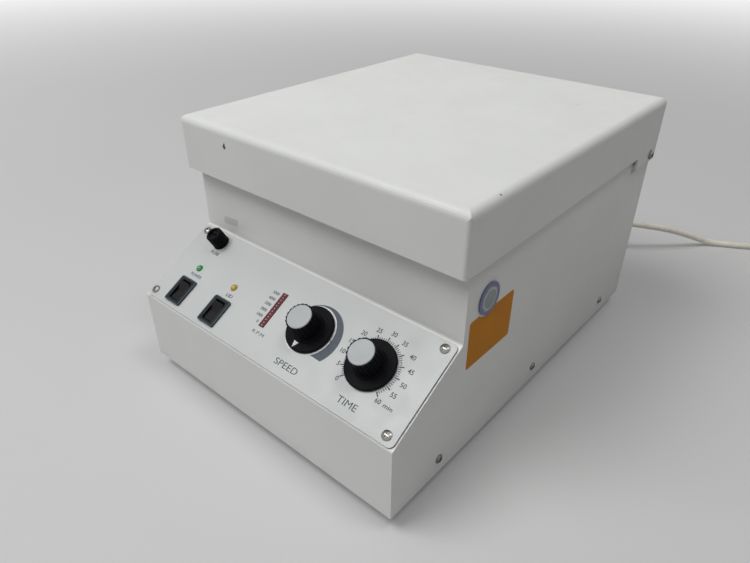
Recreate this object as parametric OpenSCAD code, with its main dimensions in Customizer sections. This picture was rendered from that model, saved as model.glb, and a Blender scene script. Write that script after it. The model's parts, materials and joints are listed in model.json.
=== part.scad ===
// Bench centrifuge: folded steel case, sloped control panel, hinged lid, angle rotor in a steel bowl.
// Millimetres, real size. The floor under the feet is z = 0, the front looks along -Y, the lid hinges at the rear.

/* [Case] */
// Width of the case across its two side walls
body_w = 270; // [240:1:300]
// Depth of the case from the low front wall to the rear face
case_d = 369.2; // [330:0.1:400]
// Height of the low front wall
front_h = 62.4; // [50:0.1:80]
// Depth of the control slope, measured level
slope_y = 71.3; // [60:0.1:90]
// Height of the top of the control slope above the case's lower edge
slope_h = 103.2; // [90:0.1:120]
// Thickness of the case sheet
sheet_t = 1.5; // [1:0.1:2.5]
// Height of the rubber feet
foot_h = 12; // [8:0.5:20]
// Height of the deck under the lid, above the case's lower edge
deck_h = 166; // [150:1:175]
// Width of the rear wall's folded edge
rear_flange = 14; // [10:1:20]

/* [Lid] */
// Height of the lid skirt's overlap below the deck
skirt_h = 8; // [4:0.5:16]
// Height of the lid's top above the deck
lid_top_h = 36; // [24:0.5:50]
// How far the lid stands out past each side wall
lid_side = 3.75; // [2:0.05:8]
// How far the lid stands out past the wall under it at the front
lid_front = 10.7; // [5:0.1:20]
// Radius of the lid's folded top edges
lid_r = 6; // [2:0.5:10]
// How far the lid's rear skirt stands out past the rear face
lid_rear = 0.9; // [0:0.1:3]
// Distance of the hinge axis from the rear face
hinge_back = 13.1; // [8:0.1:20]
// Depth of the hinge axis below the deck
hinge_h = 12.2; // [9:0.1:20]
// Radius of the hinge screws
hinge_r = 3; // [2:0.1:4]

/* [Panel] */
// Thickness of the control plate
plate_t = 1.5; // [1:0.1:3]
// Length of the control plate up the slope
plate_v = 79; // [60:0.5:82]
// Radius of the knob skirts
skirt_r = 19; // [15:0.5:22]
// Radius of the fluted knob barrels
barrel_r = 10.6; // [8:0.1:13]
// Height of the knobs above the case's slope
knob_h = 21.6; // [15:0.1:28]
// Radius of the knob caps
knob_cap_r = 9.5; // [7:0.1:12]
// Radius of the control shafts
shaft_r = 3; // [2:0.1:4]
// Resting tilt of the two rockers
rocker_tilt = 8; // [4:1:10]
// Radius of the indicator lamps
lamp_r = 2.9; // [2:0.1:4]

/* [Bowl and rotor] */
// Distance between the bowl's inner wall and the rear face
bowl_back = 22.9; // [18:0.1:30]
// Depth of the case in front of the bowl's inner wall
bowl_front = 126.3; // [120:0.1:140]
// Gap between the rotor and the bowl's wall
rotor_gap = 6; // [4:0.5:12]
// Radius of the rotor's hub, on which its nut seats
hub_r = 20; // [17:0.5:26]
// Number of tube pockets in the rotor
pocket_n = 8; // [6:1:12]
// Radius of the tube pockets
pocket_r = 8.6; // [6:0.1:9]
// Radius of the motor shaft
drive_r = 4; // [3:0.1:6]
// Radius of the motor
motor_r = 36; // [30:1:40]

/* [Fits] */
// Radial gap between a turning shaft and its hole
run_gap = 0.05; // [0.01:0.01:0.1]
// Gap kept between pieces that move past each other
move_gap = 0.3; // [0.3:0.05:1]
// Radius of the small screws
screw_r = 1.9; // [1.5:0.1:2.5]
// Radius of the small screw heads
head_r = 3.5; // [3:0.1:4.5]
// Height of the small screw heads
head_h = 2; // [1.5:0.1:3]

/* [Mains cord] */
// Radius of the mains cord
cord_r = 3.5; // [3:0.1:4.5]

/* [Hidden] */
half_w = body_w / 2;
inner_x = half_w - sheet_t;
low_z = foot_h;
deck_z = low_z + deck_h;
skirt_z = deck_z - skirt_h;
lid_z = deck_z + lid_top_h;
lid_x = half_w + lid_side;
lid_y0 = slope_y - lid_front;
lid_y1 = case_d + lid_rear;
hinge_y = case_d - hinge_back;
hinge_z = deck_z - hinge_h;
tab_z = hinge_z - 6.1;
rear_skirt_z = deck_z + 5;
depth_all = case_d + head_h;
slope_a = atan2(slope_h - front_h, slope_y);
hole_r = screw_r + 0.1;
drive_hole = drive_r + run_gap;
liner_z = deck_z + 5.8;
liner_t = 1.2;
liner_y1 = hinge_y - 11;
latch_x = 80;
latch_y = 97;
latch_z = low_z + 127.4;
plug_r = 10;
plug_head_r = 12;
panel_floor_z = low_z + sheet_t;
bowl_floor_z = 98;
bowl_r = (case_d - bowl_back - bowl_front) / 2;
bowl_flange_r = bowl_r + 11;
rotor_y = bowl_front + bowl_r;
rotor_r = bowl_r - rotor_gap;
pocket_at = rotor_r - 15.6;
bowl_t = 1.2;
mount_z = 74;
plate_z = 86;
speed_u = 29.2;
speed_v = 41.5;
time_u = 87.7;
time_v = 40.8;
rocker_u = [-102.9, -58];
rocker_v = 17;
lamp_u = [-103.7, -57.8];
lamp_v = 41;
bar_u = -10.3;
bar_v = 40.9;
fuse_u = -104.2;
fuse_v = 69.7;
panel_screw = [[-128.2, 7.3], [-128, 74], [126.1, 74.2], [126.1, 7.3]];
side_screw_y = [52.7, case_d / 2 + 1.7, case_d - 49];
side_screw_z = low_z + 13.8;
foot_at = [[-105, 40], [105, 40], [-105, case_d - 39.2], [105, case_d - 39.2]];
gland_x = 20;
gland_z = 52;
gland_len = 24.8;
gland_y = case_d + gland_len;
coil_at = [279, case_d + 197.7];
coil_in = 122.8;
coil_r0 = 53;
coil_step = 8;
coil_lift = 2 * cord_r + 0.6;
coil_turns = 6.25;
cord_dir = [0.8408, 0.5413, 0];
plug_dir = [0.542, -0.8404, 0];

// The cord's route from the gland to the coil, with Y from the rear face
cord_run = [[20, 24.8, 52], [20.4, 36.8, 51.6], [23.5, 49.8, 50.4], [30, 62.8, 48.8], [40, 74.8, 46.6], [52.5, 85.8, 44],
    [66, 95.3, 41.2], [79, 103.8, 38.7], [91.5, 111.8, 36.4], [104, 120.8, 34], [117, 132.8, 31], [129, 144.8, 27.5],
    [141, 157.8, 22.5], [152, 171.8, 16], [162, 184.3, 9.5], [172, 193.8, 5], [184, 201.8, 3.5], [199, 209.8, 3.5],
    [213, 218.3, 3.5], [227, 227.3, 3.5], [239, 235.1, 3.5], [250.2, 242.25, 3.5]];
cord_pts = [for (p = cord_run) [p[0], p[1] + case_d, p[2]]];

function unit(v) = v / norm(v);
function turn2(v, a) = [v[0] * cos(a) - v[1] * sin(a), v[0] * sin(a) + v[1] * cos(a)];
function bend(a, b, c, r, n) = r <= 0 ? [b] :
    let (u = unit(a - b), w = unit(c - b), h = acos(u * w) / 2, t = r / tan(h))
    let (o = b + unit(u + w) * r / sin(h), s = b + u * t - o, e = b + w * t - o)
    let (g = s[0] * e[1] - s[1] * e[0] > 0 ? 1 : -1)
    [for (k = [0:n]) o + turn2(s, g * k / n * (180 - 2 * h))];
function bent(p, r, n = 4) = let (m = len(p))
    [for (i = [0:m - 1]) each bend(p[(i + m - 1) % m], p[i], p[(i + 1) % m], r[i], n)];
function box_pts(x0, x1, y0, y1) = [[x0, y0], [x0, y1], [x1, y1], [x1, y0]];

// A tube of round rings along a list of points, closed at both ends
function ring(p, d, r, n) = let (s = unit(cross(d, [0, 0, 1])), t = cross(s, d))
    [for (k = [0:n - 1]) p + r * (s * cos(360 * k / n) + t * sin(360 * k / n))];
function way(p, i) = i == 0 ? p[1] - p[0] : i == len(p) - 1 ? p[i] - p[i - 1] : unit(p[i + 1] - p[i]) + unit(p[i] - p[i - 1]);
module sweep(p, r, n, first, last) {
    m = len(p);
    d = [for (i = [0:m - 1]) unit(i == 0 ? first : i == m - 1 ? last : way(p, i))];
    pts = [for (i = [0:m - 1]) each ring(p[i], d[i], r, n)];
    sides = [for (i = [0:m - 2], k = [0:n - 1]) each [
        [i * n + k, (i + 1) * n + k, (i + 1) * n + (k + 1) % n],
        [i * n + k, (i + 1) * n + (k + 1) % n, i * n + (k + 1) % n]]];
    caps = [[for (k = [0:n - 1]) k], [for (k = [n - 1:-1:0]) (m - 1) * n + k]];
    polyhedron(points = pts, faces = concat(sides, caps), convexity = 10);
}
function coil_r(t) = t < 3 ? coil_r0 - coil_step * t : t < 3.25 ? coil_r0 - coil_step * 3 : coil_r0 - coil_step * (6.25 - t);
function coil_z(t) = cord_r + coil_lift * min(1, max(0, (t - 3) * 4));
function coil_pt(t) = [coil_at[0] + coil_r(t) * cos(coil_in - 360 * t), coil_at[1] + coil_r(t) * sin(coil_in - 360 * t), coil_z(t)];
coil_end = coil_pt(coil_turns);
coil_pts = concat([cord_pts[len(cord_pts) - 1]], [for (k = [1:coil_turns * 24]) coil_pt(k / 24)],
    [coil_end + 9 * plug_dir, coil_end + 18 * plug_dir]);
coil_gap = min([for (i = [0:len(coil_pts) - 13], j = [i + 12:len(coil_pts) - 1]) norm(coil_pts[i] - coil_pts[j])]) - 2 * cord_r;
echo(coil_gap = coil_gap);

module at_case() translate([0, -depth_all / 2, 0]) children();
module on_slope(u = 0, v = 0) at_case() translate([0, 0, low_z + front_h]) rotate([slope_a, 0, 0]) translate([u, v, 0]) children();
module prism_x(w) rotate([90, 0, 90]) linear_extrude(height = w, center = true) children();
module prism_y(y0, y1) translate([0, y1, 0]) rotate([90, 0, 0]) linear_extrude(height = y1 - y0) children();
module block(x0, x1, y0, y1, z0, z1) translate([x0, y0, z0]) cube([x1 - x0, y1 - y0, z1 - z0]);
module rod(r, z0, z1) translate([0, 0, z0]) cylinder(r = r, h = z1 - z0, $fn = 64);
module slab(x, y, z0, z1, r) translate([0, 0, z0]) linear_extrude(height = z1 - z0) polygon(bent(box_pts(-x, x, -y, y), [r, r, r, r], 5));
module along_x(x, y, z, dir) translate([x, y, z]) rotate([0, 90 * dir, 0]) children();

// A pan-head screw on +Z with its head standing on z = 0 and a cross recess
module pan_screw(len, r = screw_r, hr = head_r, hh = head_h) {
    difference() {
        union() {
            intersection() {
                rod(hr, 0, hh);
                translate([0, 0, hh - hr * 1.55]) sphere(r = hr * 1.55, $fn = 64);
            }
            rod(r, -len, 0.2);
        }
        translate([-hr * 0.6, -0.45, hh - 1.1]) cube([hr * 1.2, 0.9, 2]);
        translate([-0.45, -hr * 0.6, hh - 1.1]) cube([0.9, hr * 1.2, 2]);
    }
}
module hex_nut(r, bore, z0, z1) difference() {
    translate([0, 0, z0]) cylinder(r = r, h = z1 - z0, $fn = 6);
    rod(bore, z0 - 1, z1 + 1);
}

// Folded case
module case_outer() polygon(bent([[0, low_z], [0, low_z + front_h], [slope_y, low_z + slope_h], [slope_y, deck_z],
    [case_d, deck_z], [case_d, low_z]], [0, 2, 2.5, 2.5, 3, 0]));
module case_inner() polygon(bent([[sheet_t, low_z - 1], [sheet_t, low_z + front_h + sheet_t * tan(slope_a) - sheet_t / cos(slope_a)],
    [slope_y + sheet_t, low_z + front_h + (slope_y + sheet_t) * tan(slope_a) - sheet_t / cos(slope_a)],
    [slope_y + sheet_t, deck_z - sheet_t], [case_d - sheet_t, deck_z - sheet_t], [case_d - sheet_t, low_z - 1]],
    [0, 0.5, 4, 1, 1.5, 0]));
module case_shell() color([0.80, 0.80, 0.77]) {
    difference() {
        at_case() difference() {
            prism_x(body_w) case_outer();
            prism_x(2 * inner_x) case_inner();
            block(-inner_x + rear_flange, inner_x - rear_flange, case_d - 5, case_d + 5, low_z - 1, deck_z - sheet_t - rear_flange);
            translate([0, rotor_y, deck_z - 5]) rod(bowl_r + bowl_t + 0.3, 0, 10);
            block(latch_x - 6, latch_x + 6, latch_y - 11, latch_y + 11, deck_z - 5, deck_z + 5);
            for (s = [-1, 1]) {
                along_x(s * (half_w - 5), hinge_y, hinge_z, s) rod(hinge_r + run_gap, 0, 10);
                for (y = side_screw_y) along_x(s * (half_w - 5), y, side_screw_z, s) rod(hole_r, 0, 10);
                for (z = [36, 140]) translate([s * (inner_x - rear_flange / 2), case_d + 2, z]) rotate([90, 0, 0]) rod(hole_r, 0, 8);
            }
            along_x(half_w - 5, latch_y, latch_z, 1) rod(plug_r + 0.1, 0, 10);
        }
        on_slope() block(-121, 121, 3.5, 78.5, -6, 3);
        for (p = panel_screw) on_slope(p[0], p[1]) rod(hole_r, -6, 3);
    }
}

module base_pan() color([0.62, 0.63, 0.64]) at_case() difference() {
    union() {
        block(-inner_x, inner_x, sheet_t, case_d - 2 * sheet_t, low_z, panel_floor_z);
        for (s = [-1, 1]) block(s > 0 ? inner_x - sheet_t : -inner_x, s > 0 ? inner_x : sheet_t - inner_x, 3, case_d - 6, low_z, low_z + 28);
        block(-inner_x, inner_x, sheet_t, 2 * sheet_t, low_z, low_z + 16);
        block(-inner_x, inner_x, case_d - 3 * sheet_t, case_d - 2 * sheet_t, low_z, low_z + 16);
    }
    for (s = [-1, 1], y = side_screw_y) along_x(s * (inner_x - 5), y, side_screw_z, s) rod(hole_r, 0, 10);
    for (p = foot_at) translate([p[0], p[1], low_z]) rod(hole_r, -2, 6);
    for (k = [-3:3]) block(k * 12 - 2.5, k * 12 + 2.5, rotor_y - 26, rotor_y + 26, low_z - 2, low_z + 6);
}

module side_screws() color([0.72, 0.72, 0.70]) at_case()
    for (s = [-1, 1], y = side_screw_y) along_x(s * half_w, y, side_screw_z, s) pan_screw(9);

module feet() color([0.09, 0.09, 0.09]) at_case() for (p = foot_at) translate([p[0], p[1], 0]) difference() {
    cylinder(r1 = 10.5, r2 = 9, h = foot_h, $fn = 64);
    rod(4.2, -1, 6);
    rod(hole_r, 0, foot_h + 1);
}
module foot_screws() color([0.70, 0.70, 0.68]) at_case() for (p = foot_at) translate([p[0], p[1], 0]) {
    translate([0, 0, 6]) rotate([180, 0, 0]) pan_screw(12);
    translate([0, 0, panel_floor_z]) hex_nut(4, hole_r, 0, 3);
}

module rear_panel() color([0.80, 0.80, 0.77]) at_case() difference() {
    block(-inner_x, inner_x, case_d - 2 * sheet_t, case_d - sheet_t, low_z, deck_z - 2 * sheet_t - 0.3);
    for (k = [0:9]) block(-92 + k * 9, -88 + k * 9, case_d - 6, case_d + 2, 84, 140);
    translate([gland_x, case_d + 2, gland_z]) rotate([90, 0, 0]) rod(6.2, 0, 10);
    for (s = [-1, 1], z = [36, 140]) translate([s * (inner_x - rear_flange / 2), case_d + 2, z]) rotate([90, 0, 0]) rod(hole_r, 0, 10);
}
module rear_screws() color([0.72, 0.72, 0.70]) at_case() for (s = [-1, 1], z = [36, 140])
    translate([s * (inner_x - rear_flange / 2), case_d, z]) rotate([-90, 0, 0]) pan_screw(9);

// Control panel on the slope: u is X, v runs up the slope, w stands out of it
module control_plate() color([0.74, 0.76, 0.75]) on_slope() difference() {
    translate([0, 1.1 + plate_v / 2, 0]) slab(half_w - 1.2, plate_v / 2, 0, plate_t, 4);
    for (p = panel_screw) translate([p[0], p[1], 0]) rod(hole_r, -1, 3);
    for (u = rocker_u) translate([u, rocker_v, 0]) block(-6.7, 6.7, -10.4, 10.4, -1, 3);
    for (u = lamp_u) translate([u, lamp_v, 0]) rod(lamp_r + 0.1, -1, 3);
    translate([bar_u, bar_v, 0]) block(-2.8, 2.8, -15.8, 15.8, -1, 3);
    translate([speed_u, speed_v, 0]) rod(4.9, -1, 3);
    translate([time_u, time_v, 0]) rod(4.9, -1, 3);
    translate([fuse_u, fuse_v, 0]) rod(6.1, -1, 3);
}
module panel_screws() color([0.78, 0.78, 0.76]) for (p = panel_screw) on_slope(p[0], p[1]) translate([0, 0, plate_t]) pan_screw(8);

module rocker_frames() color([0.13, 0.15, 0.17]) for (u = rocker_u) on_slope(u, rocker_v) difference() {
    union() {
        slab(9.4, 12.25, plate_t, 3.3, 2);
        block(-6.6, 6.6, -10.3, 10.3, -17, plate_t);
    }
    block(-5.6, 5.6, -9.3, 9.3, -9, 5);
    translate([-6.3, 0, -1]) rotate([0, 90, 0]) rod(1.2 + run_gap, 0, 12.6);
}
module rocker_body() {
    rotate([90, 0, 90]) linear_extrude(height = 10.6, center = true)
        polygon([[-8.2, 4.2], [0, 2.6], [8.2, 4.2], [7.8, -2], [3, -4], [-3, -4], [-7.8, -2]]);
    translate([-6.2, 0, 0]) rotate([0, 90, 0]) rod(1.2, 0, 12.4);
}
module power_rocker() color([0.05, 0.05, 0.06]) on_slope(rocker_u[0], rocker_v) translate([0, 0, -1]) rotate([rocker_tilt, 0, 0]) rocker_body();
module lid_rocker() color([0.05, 0.05, 0.06]) on_slope(rocker_u[1], rocker_v) translate([0, 0, -1]) rotate([rocker_tilt, 0, 0]) rocker_body();

module lamp() {
    rod(lamp_r, -6, 2.2);
    intersection() {
        rod(lamp_r, 2, 6);
        translate([0, 0, 0.8]) sphere(r = lamp_r * 1.1, $fn = 48);
    }
    rod(lamp_r + 0.6, -1, 0);
}
module green_lamp() color([0.10, 0.50, 0.18]) on_slope(lamp_u[0], lamp_v) lamp();
module amber_lamp() color([0.75, 0.58, 0.12]) on_slope(lamp_u[1], lamp_v) lamp();

module bar_display() color([0.28, 0.03, 0.06]) on_slope(bar_u, bar_v) {
    block(-2.6, 2.6, -15.6, 15.6, -0.2, 1.9);
    block(-5, 5, -20, 20, -9, 0);
}
module display_board() color([0.10, 0.30, 0.16]) on_slope() difference() {
    block(-46, 14, 19, 75, -10.6, -9);
    for (u = [-42, 10], v = [24, 71]) translate([u, v, 0]) rod(1.6, -12, -8);
}

module speed_pot() color([0.55, 0.56, 0.57]) on_slope(speed_u, speed_v) difference() {
    union() {
        rod(12, -11, 0);
        rod(4.8, -1, 6);
    }
    rod(shaft_r + run_gap, -9, 7);
}
module timer_unit() color([0.62, 0.60, 0.52]) on_slope(time_u, time_v) difference() {
    union() {
        block(-23, 23, -23, 23, -24, 0);
        rod(4.8, -1, 6);
    }
    rod(shaft_r + run_gap, -20, 7);
}
module panel_nuts() color([0.72, 0.72, 0.70]) for (p = [[speed_u, speed_v], [time_u, time_v]])
    on_slope(p[0], p[1]) hex_nut(7, 4.8, plate_t, 3.9);

module knob_shaft(low) difference() {
    rod(shaft_r, low, 18);
    block(2, 5, -5, 5, 9, 19);
}
module knob() {
    difference() {
        union() {
            rod(skirt_r, 2.2, 3.7);
            translate([0, 0, 3.7]) cylinder(r1 = skirt_r, r2 = skirt_r - 0.7, h = 0.6, $fn = 64);
            translate([0, 0, 4.2]) cylinder(r1 = barrel_r + 1.8, r2 = barrel_r + 0.6, h = 2, $fn = 64);
            rod(barrel_r, 6, knob_h - 0.4);
        }
        for (k = [0:19]) rotate([0, 0, k * 18]) translate([barrel_r + 0.35, 0, 0]) rod(0.9, 6.4, knob_h + 1);
        rod(8, 2, 7);
        difference() {
            rod(shaft_r + 0.02, 6, 18.02);
            block(2.02, 5, -5, 5, 9, 19);
        }
        rod(knob_cap_r + 0.05, knob_h - 2, knob_h + 1);
    }
}
module knob_cap() {
    rod(knob_cap_r, knob_h - 2, knob_h - 0.4);
    translate([0, 0, knob_h - 0.4]) cylinder(r1 = knob_cap_r, r2 = knob_cap_r - 0.4, h = 0.4, $fn = 64);
}
module speed_shaft() color([0.75, 0.75, 0.74]) on_slope(speed_u, speed_v) knob_shaft(-8.7);
module speed_knob() color([0.04, 0.04, 0.05]) on_slope(speed_u, speed_v) knob();
module speed_cap() color([0.60, 0.62, 0.64]) on_slope(speed_u, speed_v) knob_cap();
module time_shaft() color([0.75, 0.75, 0.74]) on_slope(time_u, time_v) knob_shaft(-19.7);
module time_knob() color([0.04, 0.04, 0.05]) on_slope(time_u, time_v) knob();
module time_cap() color([0.60, 0.62, 0.64]) on_slope(time_u, time_v) knob_cap();

module fuse_holder() color([0.07, 0.07, 0.08]) on_slope(fuse_u, fuse_v) difference() {
    union() {
        rod(7.2, plate_t, 2.5);
        rod(6, -35, 2);
        translate([0, 0, -4]) cylinder(r = 9, h = 4, $fn = 6);
    }
    rod(4, -33, 4);
}
module fuse_carrier() color([0.70, 0.58, 0.30]) on_slope(fuse_u, fuse_v) difference() {
    union() {
        rod(3.6, -8, 2.5);
        rod(2, 2, 9);
    }
    rod(2.62, -9, -3);
}
module fuse_link() color([0.80, 0.82, 0.82]) on_slope(fuse_u, fuse_v) {
    rod(2.6, -8.5, -3);
    rod(2.45, -18, -8);
    rod(2.6, -23, -17.5);
}
module fuse_cap() color([0.06, 0.06, 0.07]) on_slope(fuse_u, fuse_v) difference() {
    union() {
        rod(7, 2.8, 13.6);
        translate([0, 0, 13.6]) cylinder(r1 = 7, r2 = 6, h = 1, $fn = 64);
    }
    rod(2 + run_gap, 2, 9.4);
    rod(4.6, 13.2, 15);
    block(-4.4, 4.4, -0.8, 0.8, 11.6, 15);
}

// Bowl, motor and rotor
module about_rotor() at_case() translate([0, rotor_y, 0]) children();
module bowl() color([0.70, 0.71, 0.71]) about_rotor() rotate_extrude($fn = 96)
    polygon([[18, bowl_floor_z - bowl_t], [bowl_r - 2, bowl_floor_z - bowl_t], [bowl_r + bowl_t, bowl_floor_z + 2.5],
        [bowl_r + bowl_t, deck_z], [bowl_flange_r, deck_z], [bowl_flange_r, deck_z + bowl_t], [bowl_r, deck_z + bowl_t],
        [bowl_r, bowl_floor_z + 3], [bowl_r - 2.6, bowl_floor_z], [18, bowl_floor_z]]);
module bowl_gasket() color([0.08, 0.08, 0.08]) about_rotor() translate([0, 0, deck_z + bowl_t]) rotate_extrude($fn = 96)
    polygon([[bowl_r + 2.5, 0], [bowl_r + 9, 0], [bowl_r + 9, 1.8], [bowl_r + 7.6, 4], [bowl_r + 6.2, 4.2], [bowl_r + 4.5, 3], [bowl_r + 2.5, 1.8]]);
module neck_seal() color([0.07, 0.07, 0.07]) about_rotor() difference() {
    union() {
        rod(18, bowl_floor_z - bowl_t, bowl_floor_z + 0.5);
        rod(21, bowl_floor_z, bowl_floor_z + 1.4);
    }
    rod(14, 90, 110);
}
module motor() color([0.30, 0.31, 0.32]) about_rotor() difference() {
    union() {
        rod(motor_r, 26, plate_z);
        rod(11, 22, 26);
        rod(14, plate_z, 100);
    }
    rod(drive_hole, 27, 101);
    for (k = [0:7]) rotate([0, 0, k * 45]) block(motor_r - 6, motor_r + 2, -5, 5, 36, 52);
    for (k = [0:3]) rotate([0, 0, k * 90 + 45]) translate([26, 0, 0]) rod(hole_r, plate_z - 8, plate_z + 1);
}
module motor_plate() color([0.66, 0.67, 0.68]) about_rotor() difference() {
    slab(76, 60, plate_z, plate_z + 3, 8);
    rod(14, plate_z - 1, plate_z + 4);
    for (k = [0:3]) rotate([0, 0, k * 90 + 45]) translate([26, 0, 0]) rod(hole_r, plate_z - 1, plate_z + 4);
}
module motor_screws() color([0.72, 0.72, 0.70]) about_rotor() for (k = [0:3]) rotate([0, 0, k * 90 + 45])
    translate([26, 0, plate_z + 3]) pan_screw(10);
module motor_mounts() color([0.08, 0.08, 0.08]) about_rotor() for (x = [-62, 62], y = [-48, 48]) translate([x, y, 0])
    rod(9, mount_z, plate_z);
module motor_pillars() color([0.70, 0.70, 0.70]) about_rotor() for (x = [-62, 62], y = [-48, 48]) translate([x, y, 0])
    rod(6, panel_floor_z, mount_z);
module drive_shaft() color([0.78, 0.78, 0.78]) about_rotor() rod(drive_r, 28, 152);
module rotor() color([0.66, 0.68, 0.70]) about_rotor() difference() {
    rotate_extrude($fn = 96) polygon([[drive_r + 0.02, 105], [rotor_r - 44, 105], [rotor_r - 42, 103], [rotor_r - 6, 103], [rotor_r, 109],
        [rotor_r, 128], [rotor_r - 38, 166], [hub_r + 14, 166], [hub_r, 146], [drive_r + 0.02, 146]]);
    for (k = [0:pocket_n - 1]) rotate([0, 0, k * 360 / pocket_n]) translate([pocket_at, 0, 125.6]) rotate([0, -45, 0])
        rotate_extrude($fn = 64) polygon([[0, -8], [4, -7.2], [7, -4.2], [pocket_r, 0], [pocket_r, 80], [0, 80]]);
}
module rotor_nut() color([0.30, 0.31, 0.33]) about_rotor() difference() {
    union() {
        rod(hub_r - 5, 146, 148);
        translate([0, 0, 148]) cylinder(r = hub_r - 9, h = 8, $fn = 6);
    }
    rod(drive_r + 0.02, 145, 152.5);
}

// Lid
module lid_form(t, z0) {
    r = lid_r - t;
    intersection() {
        prism_x(2 * lid_x) polygon(bent([[lid_y0 + t, z0], [lid_y0 + t, lid_z - t], [lid_y1 - t, lid_z - t], [lid_y1 - t, z0]], [0, r, r, 0], 6));
        prism_y(lid_y0, lid_y1) polygon(bent([[t - lid_x, z0], [t - lid_x, lid_z - t], [lid_x - t, lid_z - t], [lid_x - t, z0]], [0, r, r, 0], 6));
        translate([0, 0, z0]) linear_extrude(height = lid_z - z0)
            polygon(bent(box_pts(t - lid_x, lid_x - t, lid_y0 + t, lid_y1 - t), [3 - t, 3 - t, 3 - t, 3 - t], 4));
    }
}
module lid_pan() color([0.82, 0.83, 0.82]) at_case() difference() {
    lid_form(0, tab_z);
    lid_form(sheet_t, tab_z - 5);
    prism_x(3 * lid_x) polygon([[lid_y0 - 5, tab_z - 5], [lid_y0 - 5, skirt_z], [lid_y1 - 45, skirt_z], [lid_y1 - 43.5, tab_z - 5]]);
    prism_x(3 * lid_x) polygon([[lid_y1 - 4, tab_z - 1], [lid_y1 + 1, tab_z - 1], [lid_y1 + 1, tab_z + 4]]);
    block(sheet_t - lid_x, lid_x - sheet_t, lid_y1 - 4, lid_y1 + 4, tab_z - 5, rear_skirt_z);
    for (s = [-1, 1]) along_x(s * (lid_x - 5), hinge_y, hinge_z, s) rod(hinge_r + run_gap, 0, 10);
}
module lid_liner() color([0.76, 0.77, 0.76]) at_case() {
    x = lid_x - sheet_t;
    y0 = lid_y0 + sheet_t;
    difference() {
        translate([0, 0, liner_z]) linear_extrude(height = 13) polygon(bent(box_pts(-x, x, y0, liner_y1), [2, 0, 0, 2], 4));
        block(liner_t - x, x - liner_t, y0 + liner_t, liner_y1 + 5, liner_z + liner_t, liner_z + 20);
    }
}
module lid_ribs() color([0.62, 0.63, 0.64]) at_case() for (x = [-60, 60]) translate([x, 0, 0]) difference() {
    block(-15, 15, lid_y0 + 29.4, lid_y1 - 40.1, liner_z + liner_t, lid_z - sheet_t);
    block(-13.8, 13.8, lid_y0 + 20, lid_y1 - 30, liner_z + liner_t - 1, lid_z - sheet_t - 1.2);
}
module latch_striker() color([0.74, 0.74, 0.72]) at_case() difference() {
    union() {
        block(latch_x - 12, latch_x + 12, latch_y - 9, latch_y + 9, liner_z - 2, liner_z);
        block(latch_x - 1.5, latch_x + 1.5, latch_y - 8, latch_y + 8, latch_z - 9, liner_z - 1);
    }
    along_x(latch_x - 5, latch_y, latch_z, 1) rod(6, 0, 10);
}
module hinge_screws() color([0.70, 0.70, 0.68]) at_case() for (s = [-1, 1])
    along_x(s * (lid_x + move_gap), hinge_y, hinge_z, s) pan_screw(9, hinge_r, 4.2, 2.4);
module hinge_bushes() color([0.78, 0.70, 0.45]) at_case() for (s = [-1, 1]) along_x(s * half_w, hinge_y, hinge_z, s) difference() {
    rod(6, 0, lid_side - sheet_t - move_gap);
    rod(hinge_r + run_gap, -1, 5);
}
module hinge_nuts() color([0.70, 0.70, 0.68]) at_case() for (s = [-1, 1]) along_x(s * (inner_x - 3), hinge_y, hinge_z, s) difference() {
    cylinder(r = 5.5, h = 3, $fn = 6);
    rod(hinge_r + run_gap, -1, 4);
}

// Lid lock behind the front wall, with its release hole in the right side
module latch_housing() color([0.12, 0.12, 0.13]) at_case() difference() {
    block(latch_x - 12, latch_x + 12, latch_y - 13, latch_y + 13, latch_z - 12, deck_z - sheet_t);
    block(latch_x - 3, latch_x + 3, latch_y - 11, latch_y + 11, latch_z - 10.4, deck_z);
    along_x(latch_x - 20, latch_y, latch_z, 1) rod(4 + run_gap, 0, 50);
}
module latch_solenoid() color([0.35, 0.36, 0.38]) at_case() difference() {
    union() {
        block(10, 56, latch_y - 14, latch_y + 14, latch_z - 14, latch_z + 14);
        block(14, 52, latch_y - 14, latch_y - 12, latch_z + 10, deck_z - sheet_t);
    }
    along_x(26, latch_y, latch_z, 1) rod(4 + run_gap, 0, 50);
}
module latch_plunger() color([0.80, 0.80, 0.79]) at_case() {
    along_x(28, latch_y, latch_z, 1) rod(4, 0, 46);
    along_x(74, latch_y, latch_z, 1) cylinder(r1 = 4, r2 = 3, h = 1.5, $fn = 64);
}
module release_plug() color([0.55, 0.68, 0.78, 0.7]) at_case() along_x(half_w, latch_y, latch_z, 1) difference() {
    union() {
        rod(plug_r, -3.5, 0.5);
        rod(plug_head_r, 0, 1.2);
        intersection() {
            rod(plug_head_r, 1, 2.6);
            translate([0, 0, 2.2 - 40]) sphere(r = 40, $fn = 96);
        }
    }
    rod(plug_r - 1.5, -5, 0.2);
}

// Supply parts on the base
module transformer_core() color([0.34, 0.34, 0.36]) at_case() difference() {
    block(-95, -35, 95, 135, panel_floor_z, panel_floor_z + 50);
    for (x = [-85, -55]) block(x, x + 10, 90, 140, panel_floor_z + 10, panel_floor_z + 40);
}
module transformer_coil() color([0.62, 0.50, 0.22]) at_case() difference() {
    block(-84.9, -45.1, 85, 145, panel_floor_z + 10.1, panel_floor_z + 39.9);
    block(-75, -55, 94.9, 135.1, panel_floor_z, panel_floor_z + 50);
}
module speed_board() color([0.10, 0.30, 0.16]) at_case() difference() {
    block(20, 110, 75, 160, 21.5, 23.1);
    for (x = [26, 104], y = [81, 154]) translate([x, y, 0]) rod(1.6, 20, 25);
}
module board_posts() color([0.72, 0.72, 0.70]) at_case() for (x = [26, 104], y = [81, 154]) translate([x, y, 0]) difference() {
    rod(3, panel_floor_z, 21.5);
    rod(1.6, 16, 22);
}
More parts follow.
